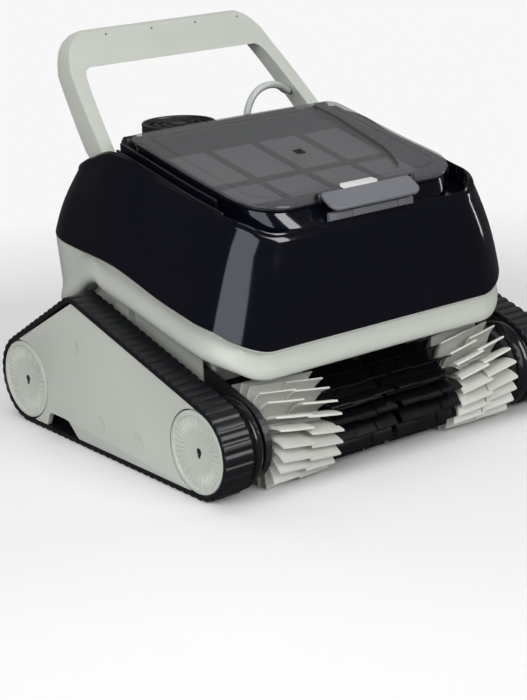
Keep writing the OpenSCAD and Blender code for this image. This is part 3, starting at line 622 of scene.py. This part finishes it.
def make_outlet():
    """Outlet collar with a rolled edge and outer ribs, and the grille of rings and spokes in it."""
    place, r = OUTLET_PLACE, OUTLET_R
    rim = [(r - 4, 262), (r, 262), (r, 299), (r - 0.4, 299.6), (r - 0.4, 300.6), (r, 301.2), (r, 304), (r - 0.5, 304.8),
           (r - 1.3, 305), (r - 2.9, 305), (r - 3.6, 304.6), (r - 4, 303.6)]
    turned("outlet_rim", rim, place, "z", "trim_black", "root", ["outlet_collar"], 96, solid=False)
    parts = []
    for outer in (r - 4.1, r - 13, r - 22):
        ring = [(outer - 2.5, 298.6), (outer, 298.6), (outer, 302.4), (outer - 0.6, 303), (outer - 1.9, 303),
                (outer - 2.5, 302.4)]
        parts.append(skin(revolve(ring, place, "z", 72)))
    parts.append(dish(revolve([(8.5, 298.6), (8.5, 302.6), (7.2, 303.8), (3, 304.2)], place, "z", 36),
                      (*place[:2], 298.6), (*place[:2], 304.3)))
    section = ((-1.2, 298.8), (1.2, 298.8), (0.9, 302.6), (-0.9, 302.6))
    spoke_faces = [(0, 1, 2, 3), (7, 6, 5, 4)] + [(k, (k + 1) % 4, 4 + (k + 1) % 4, 4 + k) for k in range(4)]
    for i in range(8):
        a = math.radians(45 * i + 12)
        along, side = Vector((math.cos(a), math.sin(a), 0)), Vector((-math.sin(a), math.cos(a), 0))
        parts.append(([Vector(place) + along * reach + side * w + Vector((0, 0, z))
                       for reach in (7.5, r - 6) for w, z in section], spoke_faces))
    piece("outlet_grid", *joined(parts), "trim_black", "root", ["outlet_grille"])


def lid_rings(d, shares):
    """Loops from the lid's outline, moved in by d, inwards to its middle, as plan points."""
    mx, my = LID_MIDDLE
    return [[(mx + (x - mx) * s, my + (y - my) * s) for x, y in lid_outline(d)] for s in shares]


def make_lid():
    """Smoked lid: a curved 4 mm plate with a rolled edge, a fine groove inside it and a notch for the latch."""
    under_z, upper_z = -4, 0.4
    shares = (0.12, 0.25, 0.38, 0.5, 0.62, 0.74, 0.86, 0.95)
    under = [on_lid(ring, under_z) for ring in lid_rings(6, shares)]
    under += [on_lid(lid_outline(d), under_z) for d in (6, 1.6)]
    edge = ((0.5, -3.6), (0, -2.8), (0, -1.6), (0.6, -0.5), (1.8, 0))
    groove = ((8, 0), (15, 0), (15.6, -0.6), (17, -0.6), (17.8, 0.2), (19, upper_z))
    face = [on_lid(lid_outline(d), dz) for d, dz in edge + groove]
    face += [on_lid(ring, upper_z) for ring in lid_rings(19, (0.97,) + shares[::-1])]
    middle_z = lid_z(*LID_MIDDLE)
    points, faces = dish(under + face, (*LID_MIDDLE, middle_z + under_z), (*LID_MIDDLE, middle_z + upper_z))
    lid = piece("lid_plate", points, faces, "lid_smoke", None, crease=25)
    notch = [(-60.5, -200), (60.5, -200), (60.5, -146), (-60.5, -146)]
    combined(lid, cutting_prism("z", notch, 200, 320), "DIFFERENCE")
    finish_piece(lid, "lid_smoke", "lid", ["lid"], crease=25)
    ear = [(-152.6, 264), (-151, 262), (-145, 262.2), (-145.5, 268), (-148, 271.4), (-151.6, 271.4), (-152.8, 269)]
    ears = [prism("x", ear, x, x + 4.2) for x in (58.2, -62.4)]
    bevelled(piece("latch_ears", *joined(ears), "trim_black", "lid"), 0.7)
    boss = [(-5, -5), (5, -5), (5, 5), (-5, 5)]
    mount = piece("lid_boss", *prism("z", boss, 0, 1.6), "trim_black", None)
    stud_profile = [(0, 1.2), (2.4, 1.2), (2.4, 2.4), (1.8, 2.8), (0, 2.8)]
    stud = turned("lid_stud", stud_profile, (0, 0, 0), "z", "basket_grey", None, steps=24)
    plate = [(-24, 0), (-20.5, -5.2), (20.5, -5.2), (24, 0), (20.5, 5.2), (-20.5, 5.2)]
    label = piece("name_plate", *prism("z", plate, 0, 1.0), "label_white", None)
    for obj, slot, y, tilt, rise, width, stands_for in (
        (mount, "trim_black", -48.3, 12.0, 0.2, 0.7, ()), (stud, "basket_grey", -48.3, 12.0, 0.2, 0, ()),
        (label, "label_white", -139.4, 22.0, 0.9, 0.4, ["lid_label"])
    ):
        tilted(obj, (0, y, lid_z(0, y) + rise), tilt)
        if width:
            bevelled(obj, width, 2)
        finish_piece(obj, slot, "lid", stands_for)
    # painted shade: a dark strip under the lid's right side, seen through it, standing in for the shadowed gap between
    # the basket and the tub's wall
    line = smooth_route([(102, 50, 0), (103, 22, 0), (99.5, -11, 0), (94, -54, 0), (87.5, -83, 0), (73, -116, 0)], 8)
    gap_shade = []
    for i, p in enumerate(line):
        half, low = 1.0 + 1.6 * math.sin(math.pi * i / (len(line) - 1)), lid_z(p.x, p.y) - 4.1
        top = lid_z(p.x, p.y) + 0.75
        gap_shade.append([(p.x - half, p.y, low), (p.x + half, p.y, low), (p.x + half, p.y, top), (p.x - half, p.y, top)])
    # this black strip is painted shade of that gap, not a moulded part
    piece("lid_gap_shade", *dish(gap_shade, gap_shade[0][0], gap_shade[-1][0]), "trim_black", "lid")


def make_basket():
    """Basket top: dark bars, two rows of four openings, and the pale filter net under them."""
    drop, middle_y = 16, -46

    def column(d):
        return outline(122 - d, -138.5 + d, 46 - d, 38 - d, 8 - min(d, 7))

    def cover(d, dz):
        return [(x, y, lid_z(0, y) - drop + dz) for x, y in column(d)]

    def sheet(d, dz):
        plans = [[(x * k, middle_y + (y - middle_y) * k) for x, y in column(d)] for k in (0.25, 0.5, 0.75, 0.92)]
        return [[(x, y, lid_z(0, y) - drop + dz) for x, y in plan] for plan in plans]

    def plate(low, high, lower_loops, upper_loops):
        top = lid_z(0, middle_y) - drop
        return dish(lower_loops + upper_loops[::-1], (0, middle_y, top + low), (0, middle_y, top + high))
    edge = [cover(0.5, -2.6), cover(0, -1.6), cover(0, -0.6), cover(0.8, 0)]
    grid = piece("basket_grid", *plate(-2.6, 0, sheet(0.5, -2.6) + edge, sheet(0.8, 0)), "basket_grey", None)
    openings = []
    for x0 in (-117, -57, 3, 63):
        for y0, y1 in ((-52, 29), (-106, -58)):
            openings.append(prism("z", [(x0, y0), (x0 + 54, y0), (x0 + 54, y1), (x0, y1)], 230, 310))
    holes = piece("cut", *joined(openings), "basket_grey", None)
    combined(holes, cutting_prism("z", column(6), 225, 312), "INTERSECT")
    combined(grid, holes, "DIFFERENCE")
    finish_piece(grid, "basket_grey", "root")
    edge = [cover(3, -3.4), cover(3, -2.7)]
    piece("filter_net", *plate(-3.4, -2.7, sheet(3, -3.4) + edge, sheet(3, -2.7)), "mesh_grey", "root")


def make_latch():
    """Rounded latch tongue with its pin, and the split keeper below it."""
    r, hx, depth, n = 10, 57.7, 25, 10

    def corner(cx, start):
        return [on_circle(cx, r, r, math.radians(start + 90 * i / n)) for i in range(n + 1)]
    back = [(hx, depth - 3), (hx - 3, depth), (-hx + 3, depth), (-hx, depth - 3)]
    shape = corner(hx - r, -90) + back + corner(-hx + r, 180)
    plate = piece("latch_tongue", *prism("z", shape, 0, 4), "latch_grey", None)
    plate.data.transform(Matrix.Translation(Vector((0, -147, 268)) * MM) @ Matrix.Rotation(math.radians(31), 4, "X")
                         @ Matrix.Translation(Vector((0, -depth, 0)) * MM))
    bevelled(plate, 1.3, 4)
    finish_piece(plate, "latch_grey", "latch", ["latch_plate"])
    turned("latch_pin", [(0, -62), (1.5, -62), (1.5, 62), (0, 62)], (0, -150.2, 268.4), "x", "steel", "latch", steps=16)
    face = [(-159.6, 236), (-154.3, 236), (-154.3, 252), (-158.4, 252), (-159.6, 250.6)]
    slabs = [prism("x", face, a, b) for a, b in ((-54, -27), (-25.2, 33), (34.8, 54))]
    slabs.append(prism("x", [(-158.6, 236.2), (-154.4, 236.2), (-154.4, 251), (-158.6, 251)], -53.5, 53.5))
    bevelled(piece("latch_keep", *joined(slabs), "latch_grey", "root", ["latch_keeper"]), 0.7)


# ---------- handle ----------
def make_handle():
    """Portal handle: the side profile and the front shape crossed, then all edges rounded and the holes made."""
    def both_sides(half):
        return [(-x, z) for x, z in half] + half[::-1]
    side = [(75, 281), (71.5, 273), (73.6, 265.2), (78.7, 260.7), (85, 259.5), (92, 262), (110, 280), (184, 358),
            (191, 373), (197, 389), (196, 397), (190, 401.6), (183, 399), (174, 384), (162, 366)]
    outer = [(150, 255), (150, 290), (146.8, 310), (143, 330), (139.8, 346), (136.6, 359), (132.8, 371), (128, 381.5),
             (121, 390), (113, 396.5), (105, 400.5), (97, 402)]
    gap = [(134.5, 250), (134.5, 290), (131, 309), (127, 328), (122.8, 346), (119, 358), (115.5, 363.6), (109, 366)]
    handle = piece("carry_handle", *prism("x", side, -160, 160), "shell_light", None)
    combined(handle, cutting_prism("y", both_sides(outer), 40, 240), "INTERSECT")
    combined(handle, cutting_prism("y", both_sides(gap), 30, 250), "DIFFERENCE")
    bevelled(handle, 5.4, 5)
    cable_hole = cutting_rod(5, -30, 30, (0, 0, 0), "x", 32)
    tilted(cable_hole, HANDLE_HOLE, 25.2, "Z")
    combined(handle, cable_hole, "DIFFERENCE")
    for x in (-75, -15.5, 43, 101):
        drain = cutting_rod(1.3, -12, 12, (0, 0, 0), "z", 16)
        tilted(drain, (x, 181, 395), 58)
        combined(handle, drain, "DIFFERENCE")
    finish_piece(handle, "shell_light", "handle", ["handle"])


# ---------- tracks ----------
WHEEL_Y, AXLE_Z, TRACK_R, IDLER_Y, IDLER_Z, IDLER_R = 153, 48, 48, 56.8, 137, 21


def track_path(d, arc_steps=40, top=(IDLER_Y, IDLER_Z, IDLER_R)):
    """Arcs round the front wheel, the rear wheel and the top circle, joined by straight runs, as (y, z)."""
    circles = [(-WHEEL_Y, AXLE_Z, TRACK_R + d), (WHEEL_Y, AXLE_Z, TRACK_R + d), (top[0], top[1], top[2] + d)]

    def leave(a, b):
        dy, dz = b[0] - a[0], b[1] - a[1]
        return math.atan2(dz, dy) - math.acos((a[2] - b[2]) / math.hypot(dy, dz))
    points = []
    for j in range(3):
        start, end = leave(circles[j - 1], circles[j]), leave(circles[j], circles[(j + 1) % 3])
        while end < start:
            end += 2 * math.pi
        points += [on_circle(*circles[j], start + (end - start) * s / arc_steps) for s in range(arc_steps + 1)]
    return points


def even_path(points, count):
    """count points evenly spaced round a closed path, each with its outward direction."""
    closed = points + [points[0]]
    lengths = [math.dist(a, b) for a, b in zip(closed, closed[1:])]
    total, out, i, gone = sum(lengths), [], 0, 0.0
    for k in range(count):
        want = total * k / count
        while gone + lengths[i] < want or lengths[i] == 0:
            gone += lengths[i]
            i += 1
        t = (want - gone) / lengths[i]
        (ay, az), (by, bz) = closed[i], closed[i + 1]
        dy, dz = (by - ay) / lengths[i], (bz - az) / lengths[i]
        out.append((ay + (by - ay) * t, az + (bz - az) * t, dz, -dy))
    return out


def make_belt(side, sign):
    """Ribbed rubber belt: cross ribs round the outside, chamfered edges, a flat inside."""
    ribs, per_rib = 84, 10
    path = even_path(track_path(0), ribs * per_rib)
    rise = [0, 0, 0, 0, -0.1, -0.5, -1.2, -1.3, -1.2, -0.5]
    loops = []
    for x, extra, ribbed in ((187.0, -3.4, False), (187.6, -0.9, True), (188.6, -0.05, True), (219.0, -0.05, True),
                             (220.0, -0.9, True), (220.6, -3.4, False), (220.6, -5.0, False), (219.8, -5.7, False),
                             (187.8, -5.7, False), (187.0, -5.0, False)):
        loop = []
        for i, (y, z, ny, nz) in enumerate(path):
            d = extra + (rise[i % per_rib] if ribbed else 0)
            loop.append((sign * x, y + ny * d, z + nz * d))
        loops.append(loop)
    piece(f"track_belt_{side}", *skin(loops), "rubber_black", "root", [f"belt_{side}"], crease=28)


def make_side_plate(side, sign):
    """Flat plate between the caps, with rounded tips beside them, a notch at the floor and faint bosses."""
    edge = track_path(-6.4, 24, (IDLER_Y - 8, IDLER_Z - 2.5, IDLER_R + 3))
    plate = piece(f"track_plate_{side}", *prism("x", edge, 214, 219.6), "shell_light", None)
    cap_r, tip_r = 43, 3.4
    wheels = [(y, AXLE_Z) for y in (-WHEEL_Y, WHEEL_Y)]
    cuts = [(*wheel, cap_r, 96) for wheel in wheels]
    for a, b in zip(edge, edge[1:] + edge[:1]):
        run = [(a[0] + (b[0] - a[0]) * t / 100, a[1] + (b[1] - a[1]) * t / 100) for t in range(101)]
        cuts += [(*p, tip_r, 24) for p, q in zip(run, run[1:]) for wheel in wheels
                 if (math.dist(p, wheel) < cap_r) != (math.dist(q, wheel) < cap_r)]
    for y, z, r, steps in cuts:
        combined(plate, cutting_rod(r, 200, 230, (0, y, z), "x", steps), "DIFFERENCE")
    notch = [(38, -4), (47, 2), (58, 9), (66, 16), (72, 21), (80, 22), (104, 22), (109, 20), (113, 12), (119, -4)]
    combined(plate, cutting_prism("x", notch, 200, 230), "DIFFERENCE")
    bevelled(plate, 1.1, 3)
    rings = [(9.5, 219.4), (9.2, 219.8), (7.6, 219.95), (6.6, 219.7)]
    bosses = [dish(revolve(rings, (0, y, z), "x", 40), (219.3, y, z), (219.68, y, z))
              for y, z in ((51, 108), (10, 34), (-56, 34))]
    marks = piece("marks", *joined(bosses), "shell_light", None)
    both = joined([([v.co / MM for v in o.data.vertices], [p.vertices for p in o.data.polygons])
                   for o in (plate, marks)])
    for o in (plate, marks):
        bpy.data.objects.remove(o)
    piece(f"side_cover_{side}", *sided(both, sign), "shell_light", "root", [f"side_plate_{side}"])


def make_well_wall(side, sign):
    """Light grey wall of the track well, seen between the skirt and the belt."""
    low = [(-98, 84), (-60, 90), (0, 96), (30, 100), (88, 96)]
    top = [(y, low_z(y) + 3) for y in range(88, -99, -6)]
    tab = prism("x", [(14, 108), (36, 108), (36, 150), (30, 153), (14, 152)], 168.4, 176)
    both = joined([prism("x", low + top, 167.3, 168.5), tab])
    piece(f"well_wall_{side}", *sided(both, sign), "shell_light", "root")


def make_cap(side, sign, end, y, body):
    """Hub cap: a dished disc with a fan of shallow radial ribs and a slot at its centre."""
    face_x, ribs, rib_height, slot_r, slot_floor = 220.4, 36, 1.5, 4, 216
    rings = [(41.2, -6.6), (41.6, -5.6), (41.6, -1.6), (41.2, -0.7), (40.2, -0.15), (39, 0), (37.4, -0.1), (36.4, -0.9),
             (35.6, -1.6), (33, -2.1), (30, -2.3), (27, -2.45), (24, -2.6), (21, -2.75), (19.6, -2.8), (18.4, -3.0),
             (12, -3.3), (6, -3.5), (5.2, -3.55)]
    loops = []
    for r, h in rings:
        loop = []
        for a in angles(216):
            fade = math.sin(math.pi * (r - 20) / 17.5) if 20.5 < r < 37 else 0
            rib = rib_height * max(0, math.cos(ribs * a)) * fade
            loop.append((sign * (face_x + h + rib), *on_circle(y, AXLE_Z, r, a)))
        loops.append(loop)
    points, faces = dish(loops, (sign * 213.8, y, AXLE_Z), (sign * 216.8, y, AXLE_Z))
    cap = piece(f"hub_cap_{end}_{side}", points, faces, "shell_light", None, crease=24)
    slot = [on_circle(y, AXLE_Z, slot_r, math.radians(-50 + 20 * k)) for k in range(15)]
    slot += [(y - 2, AXLE_Z - 6.6), (y + 2, AXLE_Z - 6.6)]
    combined(cap, cutting_prism("x", slot, *sorted((sign * (slot_floor - 0.4), sign * 225))), "DIFFERENCE")
    finish_piece(cap, "shell_light", body, [f"{end}_cap_{side}"], crease=24)
    dark = prism("x", slot, *sorted((sign * (slot_floor - 0.35), sign * slot_floor)))
    piece(f"slot_bottom_{end}_{side}", *dark, "trim_black", body)


def make_wheel(side, sign, end, y, body):
    """Track wheel: a rounded flange beside the belt, a neck, and the drum that carries the belt."""
    profile = [(0, 168.8), (30, 168.8), (36, 169.2), (40, 171), (43.5, 173), (45.6, 176), (46.4, 179), (46.2, 181.6),
               (44.6, 182.6), (43.4, 183.4), (43.8, 184.4), (43.2, 185.8), (41.9, 186.4), (41.9, 213), (36, 213.4),
               (36, 199), (0, 199)]
    if sign < 0:
        profile = [(r, -h) for r, h in profile]
    turned(f"track_wheel_{end}_{side}", profile, (0, y, AXLE_Z), "x", "rubber_gloss", body, [f"{end}_wheel_{side}"], 96)


# ---------- brush ----------
BRUSHES = {
    "black": {"start": 3, "end": 85, "columns": 3, "rows": 16, "stagger": 0.05, "stray": 0.25, "reach": 45.5,
              "shape": {"sweep": 16, "slant": 0, "thickness": 2.6, "point": 0}},
    "white": {"start": 85, "end": 157, "columns": 2, "rows": 22, "stagger": 0.4, "stray": 1.6, "reach": 52.5,
              "shape": {"sweep": 10, "slant": -7, "thickness": 3.8, "point": 6}},
}
CORE_R, BLADE_ROOT_R = 20.2, 21.5
BEND_BELOW, LOWEST = 1.2, 0.4


def blade(x0, x1, angle, reach, sweep, slant, thickness, point):
    """One soft paddle: it leaves the core at angle and curls by sweep degrees, and its inner tip runs out to a point.

    What would pass through the floor bends forwards along it.
    """
    across, outwards = 4, 6
    sheets = []
    for face in (-0.5, 0.5):
        grid = []
        for j in range(outwards + 1):
            t = j / outwards
            for i in range(across + 1):
                s = i / across
                r = BLADE_ROOT_R + (reach - BLADE_ROOT_R) * t * (1 - 0.05 * (1 - s) * (1 if point else 0))
                a = math.radians(angle + sweep * t * t + slant * (s - 0.5))
                half = face * thickness * (1 - 0.45 * t) / r
                x = x0 + (x1 - x0) * s - point * (1 - s) ** 2 * t * t
                z = AXLE_Z + r * math.sin(a + half)
                y = -WHEEL_Y + r * math.cos(a + half)
                grid.append((x, y - max(0, BEND_BELOW - z) * 0.8, max(z, LOWEST + 0.1 * (half > 0))))
        sheets.append(grid)
    n, row = len(sheets[0]), across + 1
    faces = []
    for j in range(outwards):
        for i in range(across):
            a = j * row + i
            faces += [(a, a + 1, a + row + 1, a + row), (n + a, n + a + row, n + a + row + 1, n + a + 1)]
    rim = list(range(row)) + [j * row + across for j in range(1, outwards + 1)]
    rim += [outwards * row + i for i in range(across - 1, -1, -1)] + [j * row for j in range(outwards - 1, 0, -1)]
    faces += [(a, n + a, n + b, b) for a, b in zip(rim, rim[1:] + rim[:1])]
    return sheets[0] + sheets[1], faces


def make_brush(side, sign):
    """Rows of paddles round a sleeve, black towards the middle and white outside."""
    body = f"front_axle_{side}"
    draw = random.Random(7 if sign > 0 else 11)
    for colour, b in BRUSHES.items():
        start, end, rows, stray = b["start"], b["end"], b["rows"], b["stray"]
        width = (end - start) / b["columns"]
        parts = []
        for c in range(b["columns"]):
            for k in range(rows):
                angle = 360 * (k + b["stagger"] * (c % 2)) / rows + draw.uniform(-stray, stray)
                reach = b["reach"] + draw.uniform(-0.5, 0.5) * stray
                x0 = start + c * width + 0.6
                parts.append(sided(blade(x0, x0 + width - 1.2, angle, reach, **b["shape"]), sign))
        sleeve = [(CORE_R, start), (23, start), (23, end), (CORE_R, end)]
        parts.append(sided(skin(revolve(sleeve, (0, -WHEEL_Y, AXLE_Z), "x", 48)), sign))
        piece(f"brush_blades_{colour}_{side}", *joined(parts), f"blade_{colour}", body, [f"brush_{colour}_{side}"])


# ---------- cable and its pieces ----------
def middle(low, high):
    """The middle of a box of the frame, in millimetres."""
    return [(a + b) / 2 / MM for a, b in zip(low, high)]


def make_gland():
    """Cable gland: a flanged body with a six-sided nut on it."""
    x, y, _ = middle(*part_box("cable_gland"))
    profile = [(4.1, 284.1), (10.6, 284.1), (11, 284.5), (11, 286), (10.4, 286.4), (8.3, 286.4), (8.3, 291.4),
               (7.6, 292), (6.2, 292.2), (6.0, 294), (5.6, 294.3), (5.3, 296.3), (4.1, 296.6)]
    nut = [on_circle(x, y, 9.6, math.radians(60 * k)) for k in range(6)]
    hexagon = bevelled(piece("gland_nut", *prism("z", nut, 286.6, 290.8), "trim_black", "root"), 0.6, 2)
    combined(hexagon, cutting_rod(6, 280, 300, (x, y, 0), "z", 40), "DIFFERENCE")
    finish_piece(hexagon, "trim_black", "root")
    piece("gland_body", *skin(revolve(profile, (x, y, 0), "z", 48)), "trim_black", "root", ["cable_gland"])


def make_strap():
    """Strap round the coil: a band with rounded corners, a flap over its end and ridges on the flap."""
    inner, outer, top = 47.6, 96.4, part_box("cord_coil")[1].z / MM
    turn = Matrix.Translation((*COIL_CENTRE, 0)) @ Matrix.Rotation(math.radians(200), 4, "Z")

    def band(path, half):
        points, faces = prism("y", path, -half, half)
        return [turn @ Vector(p) for p in points], faces
    loop = [(inner - 1.4, 0.6), (inner - 1.4, top + 0.6), (inner - 0.6, top + 1.4), (outer + 0.2, top + 1.4),
            (outer + 1.0, top + 0.6), (outer + 1.0, 0.6), (outer + 0.2, 0.6), (outer + 0.2, top + 0.3),
            (inner - 0.6, top + 0.3), (inner - 0.6, 0.6)]
    flap = [(58, top + 1.3), (86, top + 1.3), (86, top + 2.1), (85, top + 2.5), (59, top + 2.5), (58, top + 2.1)]
    ridges = [band([(c - 0.5, top + 2.4), (c + 0.5, top + 2.4), (c + 0.3, top + 2.9), (c - 0.3, top + 2.9)], 7)
              for c in (61, 64, 80, 83)]
    strap = piece("coil_strap", *joined([band(loop, 8.8), band(flap, 8.2)] + ridges), "trim_black", None)
    bevelled(strap, 0.3, 2)
    finish_piece(strap, "trim_black", "root", ["coil_tie"])


def make_plug():
    """Supply plug: relief sleeve, ribbed grip, coupling ring with flats, a hollow nose and its three pins."""
    low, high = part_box("cord_connector")
    start, (_, y, z) = low.x / MM, middle(low, high)
    profile = [(0, 0.4), (5.4, 0.2)]
    for k in range(6):
        a, r = 1.6 + 3.0 * k, 5.6 + 0.55 * k
        profile += [(r, a), (r + 0.3, a + 0.8), (r + 0.3, a + 1.8), (r - 0.5, a + 2.1), (r - 0.5, a + 2.8)]
    profile += [(9, 20), (12, 21.2), (13, 22.4)]
    for k in range(7):
        a = 24 + 2.6 * k
        profile += [(13, a), (13, a + 1.4), (12.2, a + 1.8), (12.2, a + 2.4)]
    profile += [(13, 42.6), (13, 53.6), (12.2, 54.8), (10.2, 55), (10, 56), (10, 66.8), (9.2, 68), (7.6, 68), (7.4, 60),
                (0, 60)]
    turned("plug_body", profile, (start, y, z), "x", "trim_black", "root", ["cord_connector"], 56)
    pins = []
    for a in (math.pi / 2, math.pi * 7 / 6, -math.pi / 6):
        py, pz = on_circle(y, z, 3.4, a)
        pins.append(dish(revolve([(1.1, 59.6), (1.1, 66.4), (0.7, 67)], (start, py, pz), "x", 16),
                         (start + 59.6, py, pz), (start + 67, py, pz)))
    piece("plug_pins", *joined(pins), "steel", "root")


def make_cords():
    """The cable's two visible stretches: its loop by the handle, and the rest with the coil."""
    loop_line = smooth_route(LOOP_ROUTE, 6)
    long_line = smooth_route(DROP_ROUTE, 5) + [Vector(p) for p in coil_route()]
    radius = CABLE_D / 2 / MM
    loop = piece("cable_loop", *tube_mesh(loop_line, radius), "cable_grey", None)
    long_cable = piece("cable_long", *tube_mesh(long_line, radius, 12), "cable_grey", None)
    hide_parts("cord_loop")
    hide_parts("cord_drop", "cord_coil")
    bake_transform(loop)
    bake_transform(long_cable)


for make in (look_camera, make_materials, studio, dress_cad_nodes, make_upper_shell, make_base_shell, make_tub,
             make_deck_details, make_outlet, make_basket, make_lid, make_latch, make_handle):
    make()
for side, sign in (("left", -1), ("right", 1)):
    make_belt(side, sign)
    make_side_plate(side, sign)
    make_well_wall(side, sign)
    make_brush(side, sign)
    for end, y, body in (("front", -WHEEL_Y, f"front_axle_{side}"), ("rear", WHEEL_Y, f"rear_wheel_{side}")):
        make_cap(side, sign, end, y, body)
        make_wheel(side, sign, end, y, body)
for make in (make_gland, make_strap, make_plug, make_cords):
    make()
